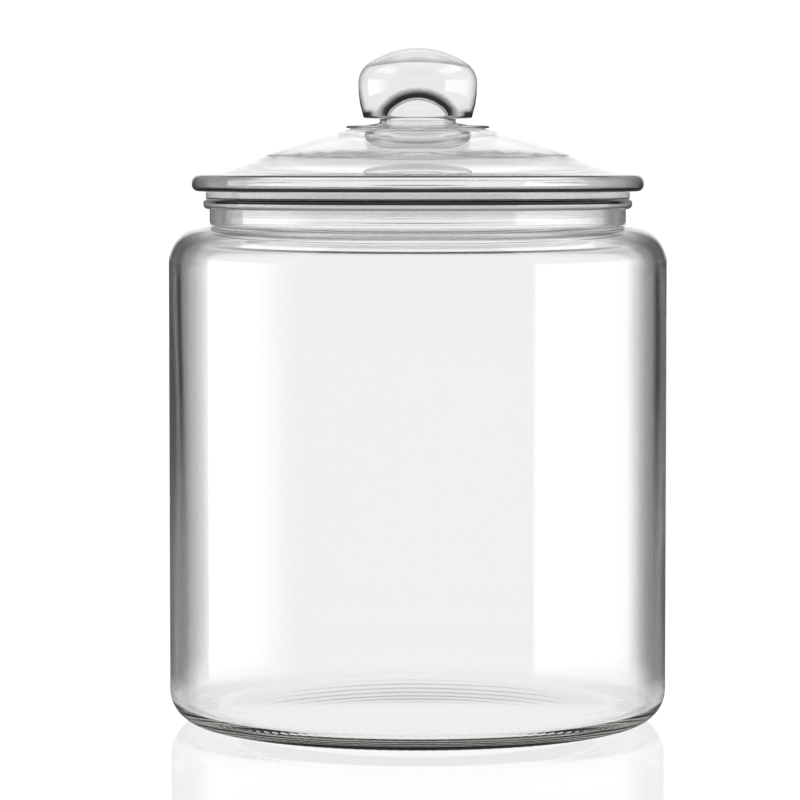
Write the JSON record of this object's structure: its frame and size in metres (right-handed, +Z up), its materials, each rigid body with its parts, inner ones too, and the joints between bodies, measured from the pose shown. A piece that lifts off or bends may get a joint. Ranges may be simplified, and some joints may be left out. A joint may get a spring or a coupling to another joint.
{
  "type": "lidded glass canister",
  "caption": "Round clear glass storage canister with a loose domed glass lid, a ball knob and a soft seal ring in the mouth.",
  "frame": {"origin": "on the jar's axis, in the plane that its foot stands on", "axes": "+Z up along the jar's axis; -Y towards the picture's camera; +X to the camera's right"},
  "size_m": [0.19, 0.19, 0.2575],
  "materials": {
    "jar_glass": "clear, fire-polished",
    "lid_glass": "clear, pressed",
    "seal_silicone": "translucent, satin"
  },
  "bodies": {
    "jar": {"jar": "jar_glass"},
    "seal_ring": {"lid_seal": "seal_silicone"},
    "lid": {"lid": "lid_glass"}
  },
  "joints": [
    {"name": "lid_lift", "type": "slide", "parent": "jar", "child": "seal_ring", "axis": [0, 0, 1], "range_m": [0, 0.12]},
    {"name": "lid_turn", "type": "hinge", "parent": "seal_ring", "child": "lid", "pos_m": [0, 0, 0.2028], "axis": [0, 0, 1], "continuous": true}
  ]
}
